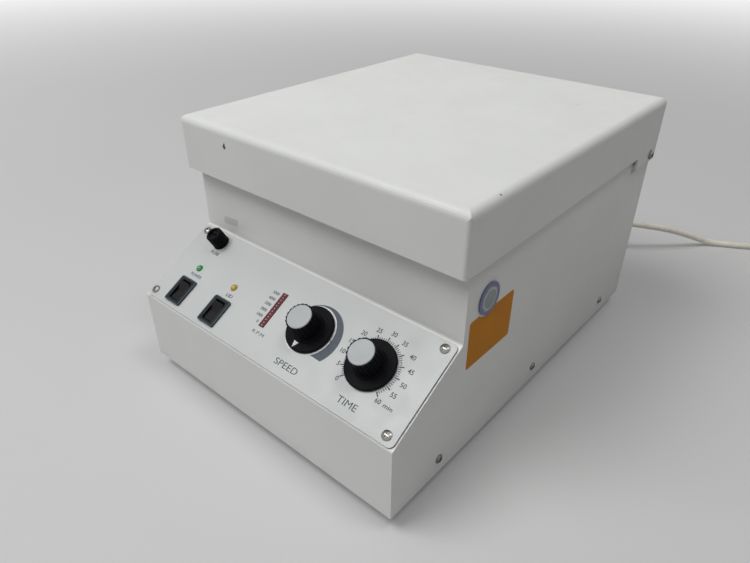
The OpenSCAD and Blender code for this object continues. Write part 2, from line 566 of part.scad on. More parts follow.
module board_parts() color([0.16, 0.17, 0.22]) at_case() translate([0, -5, 23.1]) {
    translate([38, 104, 0]) rod(8, 0, 28);
    translate([38, 126, 0]) rod(8, 0, 28);
    translate([60, 140, 0]) rod(5, 0, 14);
    block(52, 72, 96, 114, 0, 16);
    block(84, 86, 92, 152, 0, 30);
    for (k = [0:6]) block(86, 98, 93 + k * 9.4, 94.6 + k * 9.4, 0, 30);
    block(60, 76, 122, 130, 0, 10);
}

// Mains cord, shown in full: free run, real loops and plug
module cord_gland() color([0.09, 0.09, 0.09]) at_case() translate([gland_x, case_d - sheet_t, gland_z]) rotate([-90, 0, 0]) {
    rod(9, 0, 2.5);
    rod(6.1, -5, 1);
    translate([0, 0, -4.5]) cylinder(r = 9, h = 3, $fn = 6);
    translate([0, 0, 2]) cylinder(r1 = 7.5, r2 = 5, h = gland_y - case_d + sheet_t - 2, $fn = 64);
}
module mains_cord() color([0.86, 0.84, 0.76]) at_case() sweep(cord_pts, cord_r, 8, [0, 1, 0], cord_dir);
module cord_coil() color([0.86, 0.84, 0.76]) at_case() sweep(coil_pts, cord_r, 6, cord_dir, plug_dir);
module mains_plug() color([0.86, 0.84, 0.76]) at_case() translate(coil_pts[len(coil_pts) - 1]) rotate([0, 90, atan2(plug_dir[1], plug_dir[0])]) {
    cylinder(r1 = 4.4, r2 = 6.5, h = 14, $fn = 48);
    translate([0, 0, 13.9]) cylinder(r1 = 8, r2 = 11, h = 6, $fn = 48);
    rod(11, 19.8, 42);
    for (y = [-9.5, 9.5]) translate([0, y * 0.9, 0]) rod(2.2, 41, 60);
}

case_shell();
base_pan();
side_screws();
feet();
foot_screws();
rear_panel();
rear_screws();
control_plate();
panel_screws();
rocker_frames();
power_rocker();
lid_rocker();
green_lamp();
amber_lamp();
bar_display();
display_board();
speed_pot();
timer_unit();
panel_nuts();
speed_shaft();
speed_knob();
speed_cap();
time_shaft();
time_knob();
time_cap();
fuse_holder();
fuse_carrier();
fuse_link();
fuse_cap();
bowl();
bowl_gasket();
neck_seal();
motor();
motor_plate();
motor_screws();
motor_mounts();
motor_pillars();
drive_shaft();
rotor();
rotor_nut();
lid_pan();
lid_liner();
lid_ribs();
latch_striker();
hinge_screws();
hinge_bushes();
hinge_nuts();
latch_housing();
latch_solenoid();
latch_plunger();
release_plug();
transformer_core();
transformer_coil();
speed_board();
board_parts();
board_posts();
cord_gland();
mains_cord();
cord_coil();
mains_plug();
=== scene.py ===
"""Bench centrifuge: finishes, printed marks, mains lead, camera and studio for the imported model."""

import json
import math

import bmesh
import bpy
import numpy as np
from mathutils import Matrix, Vector


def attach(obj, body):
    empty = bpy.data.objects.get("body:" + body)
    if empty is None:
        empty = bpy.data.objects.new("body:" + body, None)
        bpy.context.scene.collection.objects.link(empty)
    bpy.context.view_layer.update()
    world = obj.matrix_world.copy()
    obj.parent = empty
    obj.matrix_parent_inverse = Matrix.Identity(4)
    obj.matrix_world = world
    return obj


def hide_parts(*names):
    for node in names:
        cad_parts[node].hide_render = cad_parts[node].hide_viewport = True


bl_info = {
    "name": "Bench centrifuge",
    "version": (1, 0, 0),
    "blender": (4, 5, 0),
    "location": "View3D > Sidebar > Centrifuge",
    "description": "Dresses the centrifuge with its finishes, panel printing, mains lead and studio",
    "category": "Object",
}

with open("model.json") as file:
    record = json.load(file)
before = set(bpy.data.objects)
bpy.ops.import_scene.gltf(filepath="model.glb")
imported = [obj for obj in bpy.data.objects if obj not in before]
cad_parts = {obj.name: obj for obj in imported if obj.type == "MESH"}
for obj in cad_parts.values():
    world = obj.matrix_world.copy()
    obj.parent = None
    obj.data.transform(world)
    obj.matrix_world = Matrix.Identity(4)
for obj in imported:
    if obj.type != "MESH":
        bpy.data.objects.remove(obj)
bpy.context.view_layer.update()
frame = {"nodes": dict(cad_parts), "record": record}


NODES = frame["nodes"]
SLOT_OF = {part["node"]: part["material_slot"] for part in frame["record"]["subparts"]}


def points_of(mesh):
    """The vertices of a mesh as rows of X, Y and Z."""
    points = np.zeros(len(mesh.vertices) * 3)
    mesh.vertices.foreach_get("co", points)
    return points.reshape(-1, 3)


def box_of(node):
    """Lowest and highest corner of a CAD node, in metres to a hundredth of a millimetre."""
    points = points_of(NODES[node].data)
    return points.min(0).round(5).tolist(), points.max(0).round(5).tolist()


def middle_of(node):
    """Middle of a CAD node's box, rounded alike."""
    return np.mean(box_of(node), axis=0).round(5).tolist()


# Panel frame: u along X, v up the slope and w out of it, in millimetres. It starts on the front wall
SLOPE_RUN = 71.3
SLOPE_RISE = 40.8
SLOPE = math.atan2(SLOPE_RISE, SLOPE_RUN)
FRONT_WALL = box_of("case_shell")[0][1]
PANEL_Z = 0.0744

# Heights out of the slope: the plate's face, the ink's sunk foot and face, the pale ring's face
PLATE_TOP = 1.5
INK_LOW = PLATE_TOP - 0.03
INK_TOP = PLATE_TOP + 0.06
RING_TOP = PLATE_TOP + 0.05

# Centres on the panel: speed knob, timer knob, ring of ticks and speed bar
SPEED_AT = (29.2, 41.5)
TIME_AT = (87.7, 40.8)
TICKS_AT = (88.3, 40.6)
BAR_AT = (-10.3, 41.0)

# Camera: place in metres, then azimuth, elevation and roll in radians, then lens and sensor width
CAMERA_AT = (0.29805, -0.39083, 0.36141)
CAMERA_TURN = (0.712274, 0.558726, 0.003036)
CAMERA_LENS = 29.566
SENSOR_WIDTH = 36.0

# Centre line of the mains lead from its strain relief to its coil, in millimetres from the front wall
LEAD_RUN = np.array([
    [20, 394, 52], [20.4, 406, 51.6], [23.5, 419, 50.4], [30, 432, 48.8], [40, 444, 46.6],
    [52.5, 455, 44], [66, 464.5, 41.2], [79, 473, 38.7], [91.5, 481, 36.4], [104, 490, 34],
    [117, 502, 31], [129, 514, 27.5], [141, 527, 22.5], [152, 541, 16], [162, 553.5, 9.5],
    [172, 563, 5], [184, 571, 3.5], [199, 579, 3.5], [213, 587.5, 3.5], [227, 596.5, 3.5],
    [239, 604.3, 3.5], [250.2, 611.45, 3.5],
])

# The coil: three turns in, a quarter turn up to the second layer, three turns out and a straight tail
COIL_AT = (279.0, 566.9)
COIL_OUTER = 53.0
COIL_PITCH = 8.0
COIL_START = 122.8
COIL_HEIGHT = 3.5
COIL_LAYER = 7.6
TURNS_IN = 3.0
TURNS_UP = 0.25
TURNS_ALL = 2 * TURNS_IN + TURNS_UP
STEPS_PER_TURN = 24
TAIL_WAY = (0.542, -0.8404, 0.0)
TAIL_REACH = (9.0, 18.0)

# Timer dial: zero and sweep in degrees, radii of its ticks, and a short tick's share of the width
DIAL_ZERO = -133.0
DIAL_SWEEP = 269.6
TICK_FOOT = 19.5
SHORT_TICK = 21.5
LONG_TICK = 23.2
SHORT_TICK_WIDTH = 0.62

# Numbers of the timer dial: text and centre
DIAL_NUMBERS = [
    ("0", 71.6, 21.8), ("5", 65.5, 31.1), ("10", 62.4, 40.1), ("15", 63.8, 49.1), ("20", 68.3, 58.3),
    ("25", 77.4, 65.0), ("30", 89.0, 67.4), ("35", 99.9, 64.8), ("40", 110.4, 59.0),
    ("45", 115.1, 49.8), ("50", 116.3, 39.4), ("55", 114.3, 30.8), ("60", 107.3, 22.7),
]

# Words on the panel: text, centre, height and width
WORDS = [
    ("FUSE", -101.8, 59.0, 2.8, 10.2), ("POWER", -101.3, 34.3, 2.8, 13.6), ("LID", -56.2, 33.6, 2.8, 7.2),
    ("SPEED", 31.2, 10.3, 4.9, 22.5), ("TIME", 89.4, 10.9, 4.9, 17.0), ("R.P.M", -8.4, 20.0, 2.6, 12.2),
    ("min", 115.9, 22.2, 2.7, 7.6),
]
BOLD_UNDER = 4.0
BOLD_BY = 0.013

# Numbers beside the speed bar: height of the lowest, pitch, size and right-hand edge
SCALE_LOWEST = 27.6
SCALE_PITCH = 5.22
SCALE_SIZE = 2.5
SCALE_EDGE = -15.5

# Lit dots of the speed bar: count, pitch, and outline as (radius, height) pairs
DOT_COUNT = 12
DOT_PITCH = 2.6
DOT_OUTLINE = [(0, 1.85), (0.5, 1.85), (0.5, 1.94), (0.36, 2.0), (0, 2.0)]

# Pale ring and crescent round the speed knob: radii in millimetres, angles in degrees
RING_INNER = 19.2
RING_OUTER = 20.4
CRESCENT_START = 140.0
CRESCENT_OUTER_SWEEP = 175.4
CRESCENT_INNER_SWEEP = 191.0
CRESCENT_RADIUS = 24.2
CRESCENT_SWELL = 3.9
CRESCENT_WIDEST = -34.0

# Triangle on each knob's skirt: radii of tip and foot, half its angle, heights of its faces
POINTER_TIP = 18.1
POINTER_FOOT = 13.1
POINTER_HALF = 9.7
POINTER_LOW = 4.27
POINTER_TOP = 4.36

# Orange label on the right side, in millimetres from the front wall and the table
SIDE_WALL = 1000.0 * box_of("case_shell")[1][0]
LABEL_FRONT = 77.0
LABEL_REAR = 132.3
LABEL_LOWER = 90.5
LABEL_UPPER = 129.5
LABEL_CORNER = 2.0

# Pale label on the wall under the lid: lower edge as (X, Z), and the step to its upper edge
PALE_LOWER = np.array([[-112.4, 122.9], [-94.4, 124.3]])
PALE_STEP = np.array([1.6, 6.6])

# How far a label is sunk into its wall and stands out of it
LABEL_SUNK = 0.02
LABEL_PROUD = 0.14

# Chips in the paint: X, Y, Z and radius in metres, then how far past it the paint is whole and gone
CHIPS = [
    (-0.0834, -0.1250, 0.1998, 0.0017), (-0.0830, -0.1250, 0.2018, 0.0008),
    (0.1359, -0.0901, 0.2134, 0.0008), (0.0895, 0.1097, 0.2140, 0.0005),
    (0.1350, -0.1416, 0.0741, 0.0003), (0.1388, 0.1250, 0.2010, 0.0004),
]
CHIP_WHOLE = 0.0009
CHIP_GONE = 0.0004

# Lower edges of the lid and of its rear tab as heights, and the Y where the tab starts
LID_EDGE = 0.17
TAB_EDGE = box_of("lid_pan")[0][2]
TAB_FRONT = 0.14

# Side plug: its centre as (Y, Z) and the radii of its step and of its rim, in metres
PLUG_CENTRE = middle_of("release_plug")[1:]
PLUG_STEP = 0.0085
PLUG_RIM = 0.0100

# Notch of the orange label round the plug, in the label's millimetres
NOTCH_AT = (1000.0 * (PLUG_CENTRE[0] - FRONT_WALL), 1000.0 * PLUG_CENTRE[1])
NOTCH_RADIUS = 13.5

# Rocker frames: the middle between them, how far each is from it, its v, and half its black inside
FRAMES_MIDDLE = middle_of("rocker_frames")[0]
FRAME_APART = FRAMES_MIDDLE - middle_of("power_rocker")[0]
FRAME_V = 0.017
INSIDE_WIDE = 0.0080
INSIDE_LONG = 0.0109

ROTOR_Y = middle_of("rotor")[1]

# Floor: half its side, cells along it, and the distances where it starts to whiten and is white
FLOOR_HALF = 6.0
FLOOR_CELLS = 12
FLOOR_PLAIN = 0.40
FLOOR_WHITE = 3.5


class CentrifugePaint(bpy.types.PropertyGroup):
    """Colours and grain of the painted sheet steel."""

    case_colour: bpy.props.FloatVectorProperty(
        name="Case colour", description="Powder coat on the case",
        subtype="COLOR", size=3, min=0, max=1, default=(0.73, 0.73, 0.71))
    lid_colour: bpy.props.FloatVectorProperty(
        name="Lid colour", description="Powder coat on the lid",
        subtype="COLOR", size=3, min=0, max=1, default=(0.70, 0.71, 0.69))
    plate_colour: bpy.props.FloatVectorProperty(
        name="Panel colour", description="Paint on the control plate",
        subtype="COLOR", size=3, min=0, max=1, default=(0.51, 0.53, 0.525))
    grain: bpy.props.FloatProperty(
        name="Grain", description="Width of the dimples in the powder coat",
        unit="LENGTH", min=0.0003, max=0.003, default=0.0009)


class CentrifugePrint(bpy.types.PropertyGroup):
    """Inks and sizes of the marks on the panel."""

    ink: bpy.props.FloatVectorProperty(
        name="Ink", description="Lettering, numbers and ticks",
        subtype="COLOR", size=3, min=0, max=1, default=(0.022, 0.028, 0.034))
    crescent: bpy.props.FloatVectorProperty(
        name="Crescent", description="Crescent round the speed knob",
        subtype="COLOR", size=3, min=0, max=1, default=(0.030, 0.044, 0.058))
    number_height: bpy.props.FloatProperty(
        name="Number height", description="Height of the numbers on the timer dial",
        unit="LENGTH", min=0.002, max=0.005, default=0.0035)
    tick_width: bpy.props.FloatProperty(
        name="Tick width", description="Width of the long ticks on the timer dial",
        unit="LENGTH", min=0.0002, max=0.001, default=0.0009)


class CentrifugeStudio(bpy.types.PropertyGroup):
    """Light and floor of the studio."""

    key_power: bpy.props.FloatProperty(
        name="Key light", description="Power of the soft light at the front left, in watts",
        min=0, max=200, default=33)
    top_power: bpy.props.FloatProperty(
        name="Top light", description="Power of the light overhead on the right, in watts",
        min=0, max=200, default=8)
    world_light: bpy.props.FloatProperty(
        name="Room light", description="Strength of the even light from all round",
        min=0, max=2, default=0.14)
    lead_diameter: bpy.props.FloatProperty(
        name="Lead diameter", description="Diameter of the mains lead",
        unit="LENGTH", min=0.006, max=0.009, default=0.007)


class Signal:
    """One shader socket. Arithmetic on it adds Math nodes to its tree."""

    def __init__(self, nodes, socket):
        self.nodes = nodes
        self.socket = socket

    def __add__(self, other):
        return self.nodes.math("ADD", self, other)

    def __sub__(self, other):
        return self.nodes.math("SUBTRACT", self, other)

    def __mul__(self, other):
        return self.nodes.math("MULTIPLY", self, other)


class Nodes:
    """A node tree that is emptied and then filled node by node."""

    def __init__(self, tree):
        self.tree = tree
        tree.nodes.clear()

    def feed(self, socket, value):
        """Links a signal to a socket, or sets the socket's own value."""
        if isinstance(value, Signal):
            self.tree.links.new(value.socket, socket)
        elif socket.type == "RGBA" and len(value) == 3:
            socket.default_value = (*value, 1.0)
        else:
            socket.default_value = value

    def node(self, kind, settings=None, inputs=None, output=0):
        """Adds a node with its settings and inputs, and returns one of its outputs."""
        made = self.tree.nodes.new(kind)
        for name, value in (settings or {}).items():
            setattr(made, name, value)
        for name, value in (inputs or {}).items():
            self.feed(made.inputs[name], value)
        return Signal(self, made.outputs[output])

    def math(self, operation, first, second=0.0):
        """One Math node on one or two values."""
        return self.node("ShaderNodeMath", {"operation": operation}, {0: first, 1: second})

    def mix(self, first, second, share):
        """Colour that goes from first to second as share goes from 0 to 1."""
        settings = {"data_type": "RGBA", "clamp_factor": True}
        return self.node("ShaderNodeMix", settings, {0: share, 6: first, 7: second}, 2)

    def ramp(self, value, low, high, start=0.0, end=1.0):
        """Smooth change from start to end as value passes from low to high."""
        inputs = {"Value": value, "From Min": low, "From Max": high, "To Min": start, "To Max": end}
        return self.node("ShaderNodeMapRange", {"interpolation_type": "SMOOTHSTEP"}, inputs)


class Finish(Nodes):
    """A procedural material with one Principled shader."""

    def __init__(self, name, colour, roughness, metallic=0.0, **fixed):
        self.material = bpy.data.materials.new(name)
        self.material.use_nodes = True
        super().__init__(self.material.node_tree)
        self.shader = self.tree.nodes.new("ShaderNodeBsdfPrincipled")
        output = self.tree.nodes.new("ShaderNodeOutputMaterial")
        self.tree.links.new(self.shader.outputs[0], output.inputs["Surface"])
        self.place = self.node("ShaderNodeTexCoord", output="Object")
        self.set("Base Color", colour)
        self.set("Roughness", roughness)
        self.set("Metallic", metallic)
        for socket, value in fixed.items():
            self.set(socket.replace("_", " ").title().replace("Ior", "IOR"), value)
        self.material.diffuse_color = (*colour, 1.0)

    def set(self, socket, value):
        """Sets or links one input of the Principled shader."""
        self.feed(self.shader.inputs[socket], value)

    def noise(self, size, detail=3.0, stretch=(1.0, 1.0, 1.0)):
        """Cloudy value from 0 to 1 with features of the given size in metres, stretched along an axis."""
        at = self.place
        if stretch != (1.0, 1.0, 1.0):
            at = self.node("ShaderNodeMapping", None, {"Vector": self.place, "Scale": stretch})
        inputs = {"Vector": at, "Scale": 1.0 / size, "Detail": detail}
        return self.node("ShaderNodeTexNoise", None, inputs)

    def cells(self, size):
        """Distance to the nearest of scattered points that lie about size apart."""
        return self.node("ShaderNodeTexVoronoi", None, {"Vector": self.place, "Scale": 1.0 / size})

    def away(self, point):
        """Distance from a point, in metres."""
        inputs = {0: self.place, 1: point}
        return self.node("ShaderNodeVectorMath", {"operation": "DISTANCE"}, inputs, "Value")

    def axis(self, name):
        """One coordinate of the place on the surface."""
        return self.node("ShaderNodeSeparateXYZ", None, {0: self.place}, name)

    def bump(self, height, depth):
        """Raises the surface by depth where height is 1."""
        inputs = {"Height": height, "Distance": depth, "Strength": 1.0}
        self.set("Normal", self.node("ShaderNodeBump", None, inputs))


def shade(colour, factor):
    """A colour made darker or lighter by a factor, kept under white."""
    return tuple(min(1.0, c * factor) for c in colour)


def lid_shadow_line(finish, tone, colour):
    """Painted shadow, patchy like grime, kept under the lid: from the lower edge of the lid or its tab to
    6 mm below it.
    """
    tab = finish.ramp(finish.axis("Y"), TAB_FRONT - 0.0003, TAB_FRONT + 0.0003)
    below = (tab * (TAB_EDGE - LID_EDGE) + LID_EDGE) - finish.axis("Z")
    # Painted shadow below the lid's edge: half dark down to 3.8 mm, faded out by 6 mm
    under = finish.ramp(below, -0.0010, 0.0) * finish.ramp(below, 0.0038, 0.0060, 0.5, 0.0)
    uneven = finish.ramp(finish.noise(0.02), 0.3, 0.6, 0.75, 1.0)
    return finish.mix(tone, shade(colour, 0.3), under * uneven)


def plate_edge_shadow(finish, tone, colour):
    """Painted shadow gap round the plate: its side faces near black where the height out of the slope is
    well under the plate's face.
    """
    over = finish.axis("Z") - PANEL_Z
    back = finish.axis("Y") - FRONT_WALL
    out = over * math.cos(SLOPE) - back * math.sin(SLOPE)
    top = PLATE_TOP / 1000.0
    # The near-black colour is painted shade for the gap between plate and case
    return finish.mix(shade(colour, 0.06), tone, finish.ramp(out, top - 0.0009, top - 0.0004))


def powder_coat(name, colour, grain, roughness=0.44, chips=False, marks=None):
    """Satin powder coat: dimples, faint clouds, scattered specks, grime low down, and chips if asked."""
    finish = Finish(name, colour, roughness, specular_ior_level=0.45)
    clouds = finish.noise(0.07, 2.0)
    rubbed = finish.noise(0.016, 4.0)
    tone = finish.mix(shade(colour, 0.985), shade(colour, 1.012), finish.ramp(clouds, 0.35, 0.65))
    height = finish.axis("Z")
    grime = finish.ramp(height, 0.012, 0.022, 0.16, 0.0) * finish.ramp(rubbed, 0.35, 0.7)
    tone = finish.mix(tone, shade(colour, 0.55), grime)
    specks = finish.ramp(finish.cells(0.034), 0.008, 0.014, 0.5, 0.0)
    tone = finish.mix(tone, shade(colour, 0.5), specks)
    dimples = finish.noise(grain, 2.0)
    if chips:
        wobble = finish.noise(0.0015, 2.0) * 0.0012
        spots = []
        for x, y, z, size in CHIPS:
            far = finish.away((x, y, z)) + wobble
            spots.append(finish.ramp(far, size + CHIP_WHOLE, size + CHIP_GONE))
        worn = spots[0]
        for spot in spots[1:]:
            worn = finish.math("MAXIMUM", worn, spot)
        tone = finish.mix(tone, (0.065, 0.05, 0.04), worn)
        dimples = dimples - worn * 2.0
    # Marks passed in paint shade onto the coat: the shadow under the lid, the shadow gap round the plate
    if marks:
        tone = marks(finish, tone, colour)
    finish.set("Base Color", tone)
    finish.set("Roughness", finish.ramp(rubbed, 0.3, 0.75, roughness - 0.05, roughness + 0.09))
    finish.bump(dimples, 0.00006)
    return finish.material


def moulded(name, colour, roughness, grain=0.0007, dust=0.25, shine=0.35):
    """Moulded plastic: fine spark-eroded grain, thin dust and a slightly uneven sheen."""
    finish = Finish(name, colour, roughness, specular_ior_level=shine)
    dusty = finish.ramp(finish.noise(0.005, 5.0), 0.5, 0.8, 0.0, dust)
    finish.set("Base Color", finish.mix(colour, (0.32, 0.31, 0.29), dusty * 0.35))
    sheen = finish.ramp(finish.noise(0.009), 0.3, 0.7, roughness - 0.05, roughness + 0.07)
    finish.set("Roughness", sheen)
    finish.bump(finish.noise(grain, 2.0), 0.00004)
    return finish.material


def rocker_frame(name, rim, inside):
    """Switch frame: black within half its inside's width and length of its own centre, slate beyond."""
    finish = Finish(name, rim, 0.36, specular_ior_level=0.15)
    out = finish.math("ABSOLUTE", finish.axis("X") - FRAMES_MIDDLE)
    sideways = finish.math("ABSOLUTE", out - FRAME_APART)
    back = finish.axis("Y") - FRONT_WALL
    over = finish.axis("Z") - PANEL_Z
    along = finish.math("ABSOLUTE", back * math.cos(SLOPE) + over * math.sin(SLOPE) - FRAME_V)
    beside = finish.ramp(sideways, INSIDE_WIDE, INSIDE_WIDE + 0.0005)
    beyond = finish.ramp(along, INSIDE_LONG, INSIDE_LONG + 0.0005)
    edge = finish.math("MAXIMUM", beside, beyond)
    worn = finish.ramp(finish.noise(0.004, 4.0), 0.4, 0.75)
    finish.set("Base Color", finish.mix(inside, finish.mix(rim, shade(rim, 1.25), worn), edge))
    finish.set("Roughness", finish.ramp(worn, 0.0, 1.0, 0.3, 0.42))
    finish.bump(finish.noise(0.0007, 2.0), 0.00003)
    return finish.material


def rubber(name, colour):
    """Matt rubber: dull, dusty in patches and finely pitted."""
    finish = Finish(name, colour, 0.82)
    dusty = finish.ramp(finish.noise(0.008, 4.0), 0.45, 0.75)
    finish.set("Base Color", finish.mix(colour, shade(colour, 2.2), dusty))
    finish.bump(finish.noise(0.0006), 0.00005)
    return finish.material


def brushed(name, colour, roughness, stretch=(14.0, 1.0, 1.0), size=0.02, tarnish=0.85, depth=0.00003):
    """Drawn or brushed metal: long fine lines, a soft tarnish and uneven roughness."""
    finish = Finish(name, colour, roughness, 1.0)
    lines = finish.noise(size, 6.0, stretch)
    stain = finish.ramp(finish.noise(0.03, 3.0), 0.4, 0.75)
    finish.set("Base Color", finish.mix(colour, shade(colour, tarnish), stain))
    finish.set("Roughness", finish.ramp(lines, 0.3, 0.7, roughness - 0.08, roughness + 0.12))
    finish.bump(lines, depth)
    return finish.material


def turned(name, colour):
    """Turned and anodised metal: rings from a sine of the distance to the rotor's axis."""
    finish = Finish(name, colour, 0.28, 1.0)
    across = finish.axis("X")
    along = finish.axis("Y") - ROTOR_Y
    radius = finish.math("SQRT", across * across + along * along)
    rings = finish.math("SINE", radius * 9000.0) * 0.5 + 0.5
    cloud = finish.ramp(finish.noise(0.02), 0.35, 0.7)
    finish.set("Base Color", finish.mix(colour, shade(colour, 0.86), cloud))
    finish.set("Roughness", rings * 0.1 + 0.25)
    finish.bump(rings, 0.00002)
    return finish.material


def lamp_lens(name, colour, glow):
    """Diffusing lamp lens: its colour and its glow vary in small clouds."""
    finish = Finish(name, colour, 0.32, emission_strength=0.18, coat_weight=0.3)
    cloudy = finish.ramp(finish.noise(0.0016, 2.0), 0.3, 0.7)
    finish.set("Base Color", finish.mix(shade(colour, 0.85), shade(colour, 1.15), cloudy))
    finish.set("Emission Color", finish.mix(shade(glow, 0.6), glow, cloudy))
    finish.bump(finish.noise(0.0005), 0.00002)
    return finish.material


def window(name, colour):
    """Dark tinted display window with faint smears on its gloss."""
    finish = Finish(name, colour, 0.16, coat_weight=0.1, coat_roughness=0.06, specular_ior_level=0.35)
    smear = finish.noise(0.006, 4.0, (1.0, 3.0, 1.0))
    tone = finish.mix(shade(colour, 0.7), shade(colour, 1.3), finish.ramp(smear, 0.3, 0.7))
    finish.set("Base Color", tone)
    finish.set("Roughness", finish.ramp(smear, 0.3, 0.8, 0.12, 0.3))
    return finish.material


def circuit_board(name, colour):
    """Solder mask over copper tracks: staggered oblong fields with paler lines between them."""
    finish = Finish(name, colour, 0.35, coat_weight=0.3)
    settings = {"offset": 0.5, "offset_frequency": 2}
    sizes = {"Vector": finish.place, "Scale": 1.0, "Mortar Size": 0.00035, "Brick Width": 0.009,
             "Row Height": 0.0026, "Color1": colour, "Color2": shade(colour, 0.85),
             "Mortar": shade(colour, 1.7)}
    finish.set("Base Color", finish.node("ShaderNodeTexBrick", settings, sizes))
    finish.bump(finish.noise(0.0012), 0.00003)
    return finish.material


def layered(name, colour, pitch, axis, metallic, roughness):
    """Stacked sheets or wound wire: a sine along one axis with the given pitch in metres."""
    finish = Finish(name, colour, roughness, metallic)
    stripes = finish.math("SINE", finish.axis(axis) * (2.0 * math.pi / pitch)) * 0.5 + 0.5
    varnish = finish.ramp(finish.noise(0.012), 0.35, 0.7)
    tone = finish.mix(shade(colour, 0.7), colour, stripes)
    finish.set("Base Color", finish.mix(tone, shade(colour, 0.75), varnish))
    finish.bump(stripes, 0.0001)
    return finish.material


def clear_plastic(name, colour, transmission, roughness):
    """Translucent moulding with faint swirls."""
    finish = Finish(name, colour, roughness, transmission_weight=transmission, ior=1.46)
    swirl = finish.ramp(finish.noise(0.006, 3.0), 0.3, 0.7)
    finish.set("Base Color", finish.mix(shade(colour, 0.88), shade(colour, 1.06), swirl))
    finish.set("Roughness", finish.ramp(swirl, 0.2, 0.8, roughness, roughness + 0.1))
    return finish.material


def side_plug(name, middle, rim):
    """Translucent plug: middle, a pale line at the step painted as a highlight on its edge, and violet
    rim, by the distance from its axis.
    """
    finish = Finish(name, middle, 0.3, transmission_weight=0.3, ior=1.46)
    along = finish.axis("Y") - PLUG_CENTRE[0]
    up = finish.axis("Z") - PLUG_CENTRE[1]
    radius = finish.math("SQRT", along * along + up * up)
    swirl = finish.noise(0.005, 3.0) * 0.0016
    outer = finish.ramp(radius + swirl, PLUG_RIM - 0.0006, PLUG_RIM + 0.0006)
    from_step = finish.math("ABSOLUTE", radius + swirl - PLUG_STEP)
    # Painted highlight: a pale ring along the step's edge
    step = finish.ramp(from_step, 0.0003, 0.0009, 1.0, 0.0)
    tone = finish.mix(middle, shade(middle, 1.7), step)
    finish.set("Base Color", finish.mix(tone, rim, outer))
    finish.set("Roughness", finish.ramp(outer, 0.0, 1.0, 0.22, 0.34))
    return finish.material


def printed(name, colour):
    """Screen-printed ink: slightly uneven cover."""
    finish = Finish(name, colour, 0.55)
    cover = finish.ramp(finish.noise(0.0014, 3.0), 0.35, 0.75)
    finish.set("Base Color", finish.mix(colour, shade(colour, 1.35), cover))
    finish.bump(finish.noise(0.0005), 0.00001)
    return finish.material


def lead_sheath(name, colour):
    """Soft cream sheath: faint handling marks and a dull sheen."""
    finish = Finish(name, colour, 0.5)
    handled = finish.ramp(finish.noise(0.011, 4.0), 0.4, 0.75)
    finish.set("Base Color", finish.mix(colour, shade(colour, 0.88), handled))
    finish.set("Roughness", finish.ramp(handled, 0.0, 1.0, 0.45, 0.6))
    finish.bump(finish.noise(0.002, 2.0), 0.00003)
    return finish.material


def paper_label(name, colour):
    """Matt vinyl label, a little faded in clouds, with fine scuffs."""
    finish = Finish(name, colour, 0.6, specular_ior_level=0.2)
    faded = finish.ramp(finish.noise(0.018, 3.0), 0.3, 0.7)
    scuffs = finish.ramp(finish.noise(0.004, 6.0, (1.0, 1.0, 6.0)), 0.62, 0.75)
    tone = finish.mix(colour, shade(colour, 0.9), faded)
    finish.set("Base Color", finish.mix(tone, shade(colour, 1.15), scuffs * 0.4))
    finish.bump(finish.noise(0.0008), 0.00001)
    return finish.material


def dress(finishes):
    """Puts one material on every CAD node that has each slot."""
    for node, slot in SLOT_OF.items():
        if slot in finishes:
            mesh = NODES[node].data
            mesh.materials.clear()
            mesh.materials.append(finishes[slot])


def on_panel(points):
    """Panel coordinates (u, v, w) in millimetres to the shared frame in metres: a turn about X."""
    u, v, w = np.moveaxis(np.asarray(points, float), -1, 0) / 1000.0
    y = FRONT_WALL + v * math.cos(SLOPE) - w * math.sin(SLOPE)
    z = PANEL_Z + v * math.sin(SLOPE) + w * math.cos(SLOPE)
    return np.stack([u, y, z], -1)


def arc(centre, radius, degrees):
    """Points at a radius from a centre, at angles counted anticlockwise from u."""
    turn = np.radians(degrees)
    return np.stack([centre[0] + radius * np.cos(turn), centre[1] + radius * np.sin(turn)], -1)


def band(inner, outer, low, high):
    """Sections of four points between two curves, from height low to height high."""
    flat = np.stack([inner, outer, outer, inner], 1)
    height = np.broadcast_to(np.array([low, low, high, high], float), flat.shape[:2])
    return np.concatenate([flat, height[..., None]], -1)


def lathe(centre, profile, sides):
    """A profile of (radius, height) pairs turned about an axis through the centre."""
    radius, height = np.array(profile, float).T
    turn = np.arange(sides) * (2 * math.pi / sides)
    u = centre[0] + radius[:, None] * np.cos(turn)
    v = centre[1] + radius[:, None] * np.sin(turn)
    return np.stack([u, v, np.broadcast_to(height[:, None], u.shape)], -1)


def quads(rows, columns, start):
    """Faces between the rows of a grid whose rows close on themselves, and a face on each end row."""
    i, j = np.meshgrid(np.arange(rows - 1), np.arange(columns), indexing="ij")
    k = (j + 1) % columns
    sides = np.stack([i * columns + j, i * columns + k, (i + 1) * columns + k, (i + 1) * columns + j], -1)
    last = start + (rows - 1) * columns
    ends = [list(range(start, start + columns)), list(range(last, last + columns))]
    return (sides.reshape(-1, 4) + start).tolist() + ends


